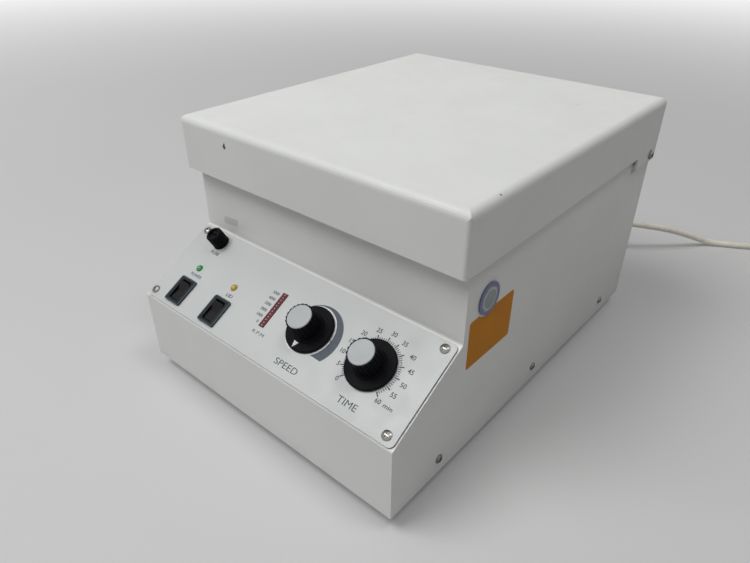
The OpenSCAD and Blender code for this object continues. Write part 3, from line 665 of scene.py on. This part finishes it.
def make_piece(name, grids, material, body, sharp=35.0, extra=None):
    """Makes one mesh piece from closed grids, turns its faces outwards and seats it on a body."""
    points = [grid.reshape(-1, 3) for grid in grids]
    faces = []
    start = 0
    for grid in grids:
        faces += quads(grid.shape[0], grid.shape[1], start)
        start += grid.shape[0] * grid.shape[1]
    for more_points, more_faces in extra or []:
        points.append(more_points)
        faces += [[index + start for index in face] for face in more_faces]
        start += len(more_points)
    mesh = bpy.data.meshes.new(name)
    mesh.from_pydata(np.concatenate(points).tolist(), [], faces)
    shell = bmesh.new()
    shell.from_mesh(mesh)
    bmesh.ops.remove_doubles(shell, verts=shell.verts, dist=1e-6)
    bmesh.ops.dissolve_degenerate(shell, edges=shell.edges, dist=1e-7)
    bmesh.ops.recalc_face_normals(shell, faces=shell.faces)
    shell.to_mesh(mesh)
    shell.free()
    mesh.shade_smooth()
    mesh.set_sharp_from_angle(angle=math.radians(sharp))
    mesh.materials.append(material)
    piece = bpy.data.objects.new(name, mesh)
    bpy.context.scene.collection.objects.link(piece)
    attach(piece, body)
    return piece


def letters(text, centre, height, width=None, right=None):
    """A word as a closed mesh on the panel, fitted to a height and width in millimetres.

    Words lower than BOLD_UNDER are made bolder, except with an M, which then folds over itself.
    """
    curve = bpy.data.curves.new("word", "FONT")
    curve.body = text
    curve.extrude = 0.5
    curve.offset = BOLD_BY if height < BOLD_UNDER and "M" not in text else 0.0
    curve.resolution_u = 4
    writer = bpy.data.objects.new("word", curve)
    bpy.context.scene.collection.objects.link(writer)
    shown = writer.evaluated_get(bpy.context.evaluated_depsgraph_get())
    mesh = bpy.data.meshes.new_from_object(shown)
    points = points_of(mesh)
    faces = [list(polygon.vertices) for polygon in mesh.polygons]
    low = points.min(0)
    span = points.max(0) - low
    tall = height / span[1]
    wide = width / span[0] if width else tall
    middle = centre[0] if right is None else right - span[0] * wide / 2
    u = (points[:, 0] - low[0] - span[0] / 2) * wide + middle
    v = (points[:, 1] - low[1] - span[1] / 2) * tall + centre[1]
    w = INK_LOW + (points[:, 2] - low[2]) / span[2] * (INK_TOP - INK_LOW)
    bpy.data.objects.remove(writer)
    bpy.data.curves.remove(curve)
    bpy.data.meshes.remove(mesh)
    return on_panel(np.stack([u, v, w], -1)), faces


def smooth_path(points, steps):
    """A Catmull-Rom curve through the points: each span is a cubic set by its four nearest points."""
    ends = np.vstack([2 * points[0] - points[1], points, 2 * points[-1] - points[-2]])
    a, b, c, d = ends[:-3, None], ends[1:-2, None], ends[2:-1, None], ends[3:, None]
    t = (np.arange(steps) / steps)[None, :, None]
    square = (2 * a - 5 * b + 4 * c - d) * t ** 2
    cube = (3 * b - a - 3 * c + d) * t ** 3
    curve = 0.5 * (2 * b + (c - a) * t + square + cube)
    return np.vstack([curve.reshape(-1, 3), points[-1:]])


def lead_path():
    """Centre line of the lead: its free run, a flat coil wound in and out again one layer up, and a tail.

    The coil is a spiral: its radius falls by one pitch with each turn, stays the same while it climbs,
    and grows by one pitch with each turn after that.
    """
    turn = np.arange(1, round(TURNS_ALL * STEPS_PER_TURN) + 1) / STEPS_PER_TURN
    wound = np.minimum(np.minimum(turn, TURNS_IN), TURNS_ALL - turn)
    radius = COIL_OUTER - COIL_PITCH * wound
    angle = np.radians(COIL_START) - 2 * math.pi * turn
    height = COIL_HEIGHT + COIL_LAYER * np.clip((turn - TURNS_IN) / TURNS_UP, 0, 1)
    x = COIL_AT[0] + radius * np.cos(angle)
    y = COIL_AT[1] + radius * np.sin(angle)
    coil = np.stack([x, y, height], -1)
    tail = coil[-1] + np.outer(TAIL_REACH, TAIL_WAY)
    path = smooth_path(np.vstack([LEAD_RUN, coil, tail]), 3)
    return (path + np.array([0.0, 1000.0 * FRONT_WALL, 0.0])) / 1000.0


def tube(path, radius, sides):
    """A round section carried along a path, with its side direction kept level."""
    along = np.gradient(path, axis=0)
    along /= np.linalg.norm(along, axis=1)[:, None]
    side = np.cross(along, [0.0, 0.0, 1.0])
    side /= np.linalg.norm(side, axis=1)[:, None]
    up = np.cross(side, along)
    turn = np.arange(sides) * (2 * math.pi / sides)
    across = np.cos(turn)[None, :, None] * side[:, None] + np.sin(turn)[None, :, None] * up[:, None]
    return path[:, None] + radius * across


class CENTRIFUGE_OT_camera(bpy.types.Operator):
    """Sets the camera: a turn by azimuth and elevation from the front, then a roll about its own axis"""

    bl_idname = "centrifuge.camera"
    bl_label = "Camera"

    def execute(self, context):
        azimuth, elevation, roll = CAMERA_TURN
        back = Vector((math.sin(azimuth) * math.cos(elevation),
                       -math.cos(azimuth) * math.cos(elevation), math.sin(elevation)))
        right = (-back).cross(Vector((0, 0, 1))).normalized()
        up = right.cross(-back)
        across = math.cos(roll) * right + math.sin(roll) * up
        upright = -math.sin(roll) * right + math.cos(roll) * up
        data = bpy.data.cameras.new("camera")
        data.sensor_fit = "HORIZONTAL"
        data.sensor_width = SENSOR_WIDTH
        data.lens = CAMERA_LENS
        data.clip_start = 0.01
        camera = bpy.data.objects.new("camera", data)
        context.scene.collection.objects.link(camera)
        turn = Matrix((across, upright, back)).transposed().to_4x4()
        camera.matrix_world = Matrix.Translation(CAMERA_AT) @ turn
        context.scene.camera = camera
        return {"FINISHED"}


class CENTRIFUGE_OT_mains_lead(bpy.types.Operator):
    """Lays the mains lead from its strain relief to its coil"""

    bl_idname = "centrifuge.mains_lead"
    bl_label = "Mains lead"

    def execute(self, context):
        diameter = context.scene.centrifuge_studio.lead_diameter
        path = lead_path()
        sheath = lead_sheath("cream_sheath", (0.80, 0.77, 0.67))
        section = tube(path, diameter / 2, 12)
        lead = make_piece("mains_lead", [section], sheath, "case", 60.0)
        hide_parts("mains_cord", "cord_coil")
        dress({"cord_cream": sheath})
        return {"FINISHED"}


class CENTRIFUGE_OT_paint(bpy.types.Operator):
    """Paints the case, the lid and the control plate"""

    bl_idname = "centrifuge.paint"
    bl_label = "Painted sheet steel"

    def execute(self, context):
        paint = context.scene.centrifuge_paint
        case = tuple(paint.case_colour)
        lid = tuple(paint.lid_colour)
        plate = tuple(paint.plate_colour)
        dress({
            # The case coat carries the painted shadow under the lid
            "case_paint": powder_coat("case_coat", case, paint.grain, chips=True, marks=lid_shadow_line),
            "lid_paint": powder_coat("lid_coat", lid, paint.grain, chips=True),
            # The plate coat carries the painted shadow on its side faces
            "plate_paint": powder_coat("plate_coat", plate, paint.grain * 0.7, 0.4, marks=plate_edge_shadow),
            "liner_paint": powder_coat("liner_coat", shade(lid, 0.92), paint.grain, 0.5),
        })
        return {"FINISHED"}


class CENTRIFUGE_OT_controls(bpy.types.Operator):
    """Finishes the knobs, rockers, lamps, display, fuse cap and side plug"""

    bl_idname = "centrifuge.controls"
    bl_label = "Controls"

    def execute(self, context):
        dress({
            "knob_black": moulded("knob_plastic", (0.006, 0.006, 0.008), 0.5, dust=0.03, shine=0.04),
            "rocker_black": moulded("rocker_plastic", (0.004, 0.004, 0.006), 0.24, dust=0.02, shine=0.14),
            "frame_slate": rocker_frame("frame_plastic", (0.050, 0.066, 0.080), (0.005, 0.006, 0.008)),
            "cap_grey": moulded("cap_grey_plastic", (0.40, 0.42, 0.43), 0.42, grain=0.0004, dust=0.02),
            "lamp_green": lamp_lens("green_lens", (0.010, 0.17, 0.035), (0.02, 0.40, 0.08)),
            "lamp_amber": lamp_lens("amber_lens", (0.36, 0.22, 0.018), (0.50, 0.30, 0.03)),
            "bar_red": window("red_window", (0.095, 0.006, 0.016)),
            "plug_clear": side_plug("plug_plastic", (0.36, 0.39, 0.40), (0.20, 0.21, 0.40)),
        })
        return {"FINISHED"}


class CENTRIFUGE_OT_works(bpy.types.Operator):
    """Finishes the screws, rubber, bowl, rotor, motor, supply parts and boards"""

    bl_idname = "centrifuge.works"
    bl_label = "Fittings and works"

    def execute(self, context):
        dress({
            "zinc_sheet": brushed("zinc_plate", (0.58, 0.59, 0.60), 0.38),
            "screw_steel": brushed("nickel_plate", (0.25, 0.245, 0.23), 0.24, (1.0, 1.0, 1.0), 0.006, 0.7),
            "stainless": brushed("drawn_stainless", (0.62, 0.62, 0.61), 0.26, (1.0, 1.0, 16.0),
                                 depth=0.000006),
            "shaft_steel": brushed("ground_steel", (0.68, 0.68, 0.67), 0.16, (1.0, 1.0, 20.0), 0.006),
            "brass": brushed("brass_parts", (0.66, 0.46, 0.18), 0.28, (2.0, 1.0, 1.0), 0.006),
            "rotor_alu": turned("anodised_rotor", (0.50, 0.52, 0.55)),
            "rubber_black": rubber("black_rubber", (0.022, 0.022, 0.022)),
            "motor_paint": powder_coat("motor_enamel", (0.07, 0.08, 0.09), 0.0012, 0.38),
            "timer_case": brushed("passivated_case", (0.55, 0.50, 0.34), 0.4),
            "solenoid_steel": powder_coat("solenoid_enamel", (0.10, 0.11, 0.12), 0.0012, 0.4),
            "board_green": circuit_board("solder_mask", (0.012, 0.10, 0.03)),
            "part_dark": moulded("component_body", (0.02, 0.022, 0.035), 0.4),
            "fuse_glass": clear_plastic("fuse_tube", (0.80, 0.84, 0.84), 0.8, 0.04),
            "core_iron": layered("laminations", (0.10, 0.10, 0.11), 0.0007, "Y", 0.8, 0.45),
            "coil_copper": layered("taped_winding", (0.42, 0.26, 0.06), 0.0009, "Z", 0.2, 0.42),
        })
        return {"FINISHED"}


class CENTRIFUGE_OT_dial_marks(bpy.types.Operator):
    """Prints the ticks of the timer dial, its numbers and the words on the panel.

    Each tick is a straight bar along a radius, at its minute's share of the sweep
    """

    bl_idname = "centrifuge.dial_marks"
    bl_label = "Printed marks"

    def execute(self, context):
        settings = context.scene.centrifuge_print
        ink = printed("panel_ink", tuple(settings.ink))
        minute = np.arange(61)
        long_tick = minute % 5 == 0
        degrees = DIAL_ZERO - DIAL_SWEEP * minute / 60
        outer = np.where(long_tick, LONG_TICK, SHORT_TICK)
        half = np.where(long_tick, 1.0, SHORT_TICK_WIDTH) * settings.tick_width * 1000 / 2
        turn = np.radians(degrees)[:, None, None]
        across = np.stack([-half, half, half, -half], 1)[:, None, :]
        reach = np.stack([np.full(len(minute), TICK_FOOT), outer], 1)[:, :, None]
        u = TICKS_AT[0] + reach * np.cos(turn) - across * np.sin(turn)
        v = TICKS_AT[1] + reach * np.sin(turn) + across * np.cos(turn)
        w = np.broadcast_to(np.array([INK_LOW, INK_LOW, INK_TOP, INK_TOP]), u.shape)
        ticks = list(on_panel(np.stack([u, v, w], -1)))
        tall = settings.number_height * 1000
        words = [letters(text, (u, v), tall) for text, u, v in DIAL_NUMBERS]
        words += [letters(text, (u, v), height, width) for text, u, v, height, width in WORDS]
        for thousand in range(6):
            centre = (0, SCALE_LOWEST + SCALE_PITCH * thousand)
            words.append(letters(str(1000 * thousand), centre, SCALE_SIZE, None, SCALE_EDGE))
        make_piece("panel_ticks", ticks, ink, "case")
        make_piece("panel_lettering", [], ink, "case", extra=words)
        return {"FINISHED"}


class CENTRIFUGE_OT_speed_scale(bpy.types.Operator):
    """Prints the crescent and its pale ring round the speed knob, and the lit dots of the speed bar.

    The ring lies between two circles. The crescent starts on the outer one, and its own outer
    radius is a mean plus the cosine of the angle from its widest place. The dots are turned
    """

    bl_idname = "centrifuge.speed_scale"
    bl_label = "Speed scale"

    def execute(self, context):
        settings = context.scene.centrifuge_print
        share = np.linspace(0.0, 1.0, 90)
        outer_angle = CRESCENT_START - CRESCENT_OUTER_SWEEP * share
        inner_angle = CRESCENT_START - CRESCENT_INNER_SWEEP * share
        swell = np.cos(np.radians(outer_angle - CRESCENT_WIDEST))
        radius = CRESCENT_RADIUS + CRESCENT_SWELL * swell
        outer = arc(SPEED_AT, np.maximum(radius, RING_OUTER + 0.05), outer_angle)
        inner = arc(SPEED_AT, np.full(len(share), RING_OUTER), inner_angle)
        crescent = on_panel(band(inner, outer, INK_LOW, INK_TOP))
        blue = printed("crescent_ink", tuple(settings.crescent))
        make_piece("speed_crescent", [crescent], blue, "case")
        full = np.linspace(0.0, 360.0, 97)
        inner = arc(SPEED_AT, RING_INNER, full)
        outer = arc(SPEED_AT, RING_OUTER, full)
        ring = on_panel(band(inner, outer, INK_LOW, RING_TOP))
        pale = printed("pale_ring_ink", (0.62, 0.64, 0.64))
        make_piece("speed_ring", [ring], pale, "case")
        dots = []
        for k in range(DOT_COUNT):
            centre = (BAR_AT[0], BAR_AT[1] + DOT_PITCH * (k - (DOT_COUNT - 1) / 2))
            dots.append(on_panel(lathe(centre, DOT_OUTLINE, 16)))
        lit = lamp_lens("bar_dot", (0.42, 0.17, 0.19), (0.30, 0.10, 0.12))
        make_piece("bar_dots", dots, lit, "case")
        return {"FINISHED"}


class CENTRIFUGE_OT_pointers(bpy.types.Operator):
    """Puts the pale triangle on the skirt of each knob"""

    bl_idname = "centrifuge.pointers"
    bl_label = "Knob pointers"

    def execute(self, context):
        white = printed("pointer_ink", (0.66, 0.67, 0.66))
        for name, centre, degrees, body in (
            ("speed_pointer", SPEED_AT, -97.7, "speed_control"),
            ("time_pointer", TIME_AT, 157.0, "time_control"),
        ):
            tip = arc(centre, POINTER_TIP, degrees)
            left = arc(centre, POINTER_FOOT, degrees - POINTER_HALF)
            right = arc(centre, POINTER_FOOT, degrees + POINTER_HALF)
            sides = np.stack([tip, left]), np.stack([tip, right])
            mark = band(*sides, POINTER_LOW, POINTER_TOP)
            make_piece(name, [on_panel(mark)], white, body)
        return {"FINISHED"}


class CENTRIFUGE_OT_labels(bpy.types.Operator):
    """Sticks the blank orange label on the right side and the small pale one above the fuse.

    The orange one is an oblong with round corners, and a circle about the plug is cut out of its top
    """

    bl_idname = "centrifuge.labels"
    bl_label = "Blank labels"

    def execute(self, context):
        orange = paper_label("orange_vinyl", (0.54, 0.20, 0.004))
        along = np.linspace(LABEL_FRONT, LABEL_REAR, 120)
        near = np.minimum(np.minimum(along - LABEL_FRONT, LABEL_REAR - along), LABEL_CORNER)
        drop = np.sqrt(np.maximum(LABEL_CORNER ** 2 - (LABEL_CORNER - near) ** 2, 0.0))
        inset = LABEL_CORNER - drop
        beside = along - NOTCH_AT[0]
        notch = NOTCH_AT[1] - np.sqrt(np.maximum(NOTCH_RADIUS ** 2 - beside ** 2, 0.0))
        top = LABEL_UPPER - inset
        top = np.where(np.abs(beside) < NOTCH_RADIUS, np.minimum(top, notch), top)
        lower = np.stack([along, LABEL_LOWER + inset], -1)
        upper = np.stack([along, top], -1)
        flat = band(lower, upper, SIDE_WALL - LABEL_SUNK, SIDE_WALL + LABEL_PROUD)
        y, z, x = np.moveaxis(flat, -1, 0) / 1000.0
        grid = np.stack([x, y + FRONT_WALL, z], -1)
        make_piece("orange_label", [grid], orange, "case")
        pale = paper_label("pale_vinyl", (0.60, 0.62, 0.62))
        faces = SLOPE_RUN - LABEL_PROUD, SLOPE_RUN + LABEL_SUNK
        flat = band(PALE_LOWER, PALE_LOWER + PALE_STEP, *faces)
        x, z, y = np.moveaxis(flat, -1, 0) / 1000.0
        grid = np.stack([x, y + FRONT_WALL, z], -1)
        make_piece("pale_label", [grid], pale, "case")
        return {"FINISHED"}


class CENTRIFUGE_OT_soft_edges(bpy.types.Operator):
    """Gives the rockers, their frames and the plate the small radii of moulded and cut edges"""

    bl_idname = "centrifuge.soft_edges"
    bl_label = "Soft edges"

    def execute(self, context):
        for node, radius, body in (
            ("power_rocker", 0.0005, "power_switch"),
            ("lid_rocker", 0.0005, "lid_switch"),
            ("rocker_frames", 0.0004, "case"),
            ("control_plate", 0.0003, "case"),
        ):
            mesh = NODES[node].data.copy()
            mesh.name = node + "_soft"
            shell = bmesh.new()
            shell.from_mesh(mesh)
            bmesh.ops.remove_doubles(shell, verts=shell.verts, dist=1e-6)
            bmesh.ops.dissolve_limit(
                shell, angle_limit=math.radians(1.0), verts=shell.verts, edges=shell.edges)
            shell.to_mesh(mesh)
            shell.free()
            piece = bpy.data.objects.new(node + "_soft", mesh)
            context.scene.collection.objects.link(piece)
            edges = piece.modifiers.new("edges", "BEVEL")
            edges.width = radius
            edges.segments = 2
            edges.limit_method = "ANGLE"
            edges.angle_limit = math.radians(40)
            edges.use_clamp_overlap = True
            mesh.shade_smooth()
            mesh.set_sharp_from_angle(angle=math.radians(38))
            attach(piece, body)
            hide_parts(node)
        return {"FINISHED"}


class CENTRIFUGE_OT_stage(bpy.types.Operator):
    """Sets the pale floor, the soft lights and the even room light.

    The floor is a flat grid. Far from the centrifuge it goes over to plain white for the camera
    """

    bl_idname = "centrifuge.stage"
    bl_label = "Studio"

    def execute(self, context):
        studio = context.scene.centrifuge_studio
        points = FLOOR_CELLS + 1
        side = np.linspace(-FLOOR_HALF, FLOOR_HALF, points)
        x, y = np.meshgrid(side, side, indexing="ij")
        grid = np.stack([x, y, np.zeros_like(x)], -1).reshape(-1, 3)
        i, j = np.meshgrid(np.arange(FLOOR_CELLS), np.arange(FLOOR_CELLS), indexing="ij")
        first = i * points + j
        faces = np.stack([first, first + points, first + points + 1, first + 1], -1).reshape(-1, 4)
        mesh = bpy.data.meshes.new("floor")
        mesh.from_pydata(grid.tolist(), [], faces.tolist())
        floor = bpy.data.objects.new("floor", mesh)
        context.scene.collection.objects.link(floor)
        finish = Finish("pale_floor", (0.57, 0.57, 0.57), 0.8)
        tone = finish.ramp(finish.noise(0.8), 0.3, 0.7)
        finish.set("Base Color", finish.mix((0.56, 0.56, 0.56), (0.58, 0.58, 0.58), tone))
        paths = finish.node("ShaderNodeLightPath", output="Is Camera Ray")
        white = (1.0, 1.0, 1.0)
        glow = finish.node("ShaderNodeEmission", None, {"Color": white, "Strength": 1.0})
        distance = finish.away((0.0, 0.0, 0.0))
        share = paths * finish.ramp(distance, FLOOR_PLAIN, FLOOR_WHITE, 0.08, 1.0)
        painted = Signal(finish, finish.shader.outputs[0])
        lifted = finish.node("ShaderNodeMixShader", None, {0: share, 1: painted, 2: glow})
        output = finish.tree.nodes["Material Output"]
        finish.tree.links.new(lifted.socket, output.inputs["Surface"])
        mesh.materials.append(finish.material)
        for name, power, at, size in (
            ("key_light", studio.key_power, (-0.65, -1.0, 2.0), 1.2),
            ("top_light", studio.top_power, (0.75, 0.15, 2.1), 0.5),
        ):
            data = bpy.data.lights.new(name, "AREA")
            data.energy = power
            data.size = size
            light = bpy.data.objects.new(name, data)
            context.scene.collection.objects.link(light)
            light.location = at
            aim = Vector((0.0, 0.0, 0.1)) - Vector(at)
            light.rotation_euler = aim.to_track_quat("-Z", "Y").to_euler()
        world = bpy.data.worlds.new("room")
        context.scene.world = world
        world.use_nodes = True
        room = Nodes(world.node_tree)
        seen = room.node("ShaderNodeLightPath", output="Is Camera Ray")
        kinds = seen.socket.node.outputs
        glossy = Signal(room, kinds["Is Glossy Ray"])
        through = Signal(room, kinds["Is Transmission Ray"])
        rays = seen + glossy + through
        soft = room.node("ShaderNodeBackground", None, {"Color": white, "Strength": studio.world_light})
        bright = room.node("ShaderNodeBackground", None, {"Color": white, "Strength": 1.0})
        blend = room.node("ShaderNodeMixShader", None, {0: rays, 1: soft, 2: bright})
        output = room.tree.nodes.new("ShaderNodeOutputWorld")
        room.tree.links.new(blend.socket, output.inputs["Surface"])
        context.scene.view_settings.view_transform = "Standard"
        return {"FINISHED"}


STEPS = (
    CENTRIFUGE_OT_camera,
    CENTRIFUGE_OT_mains_lead,
    CENTRIFUGE_OT_paint,
    CENTRIFUGE_OT_controls,
    CENTRIFUGE_OT_works,
    CENTRIFUGE_OT_dial_marks,
    CENTRIFUGE_OT_speed_scale,
    CENTRIFUGE_OT_pointers,
    CENTRIFUGE_OT_labels,
    CENTRIFUGE_OT_soft_edges,
    CENTRIFUGE_OT_stage,
)


class CENTRIFUGE_PT_build(bpy.types.Panel):
    """Lists the centrifuge's pieces and finishes"""

    bl_idname = "CENTRIFUGE_PT_build"
    bl_label = "Bench centrifuge"
    bl_space_type = "VIEW_3D"
    bl_region_type = "UI"
    bl_category = "Centrifuge"

    def draw(self, context):
        for group in ("centrifuge_paint", "centrifuge_print", "centrifuge_studio"):
            settings = getattr(context.scene, group)
            for name in settings.__annotations__:
                self.layout.prop(settings, name)
        for step in STEPS:
            self.layout.operator(step.bl_idname)


GROUPS = {
    "centrifuge_paint": CentrifugePaint,
    "centrifuge_print": CentrifugePrint,
    "centrifuge_studio": CentrifugeStudio,
}


def register():
    """Adds the settings, the operators and the panel."""
    for name, group in GROUPS.items():
        bpy.utils.register_class(group)
        setattr(bpy.types.Scene, name, bpy.props.PointerProperty(type=group))
    for step in STEPS:
        bpy.utils.register_class(step)
    bpy.utils.register_class(CENTRIFUGE_PT_build)


def unregister():
    """Takes away what register added."""
    bpy.utils.unregister_class(CENTRIFUGE_PT_build)
    for step in reversed(STEPS):
        bpy.utils.unregister_class(step)
    for name, group in GROUPS.items():
        delattr(bpy.types.Scene, name)
        bpy.utils.unregister_class(group)


def main():
    """Runs every step in order."""
    register()
    bpy.ops.centrifuge.camera()
    bpy.ops.centrifuge.mains_lead()
    bpy.ops.centrifuge.paint()
    bpy.ops.centrifuge.controls()
    bpy.ops.centrifuge.works()
    bpy.ops.centrifuge.dial_marks()
    bpy.ops.centrifuge.speed_scale()
    bpy.ops.centrifuge.pointers()
    bpy.ops.centrifuge.labels()
    bpy.ops.centrifuge.soft_edges()
    bpy.ops.centrifuge.stage()


if __name__ == "__main__":
    main()
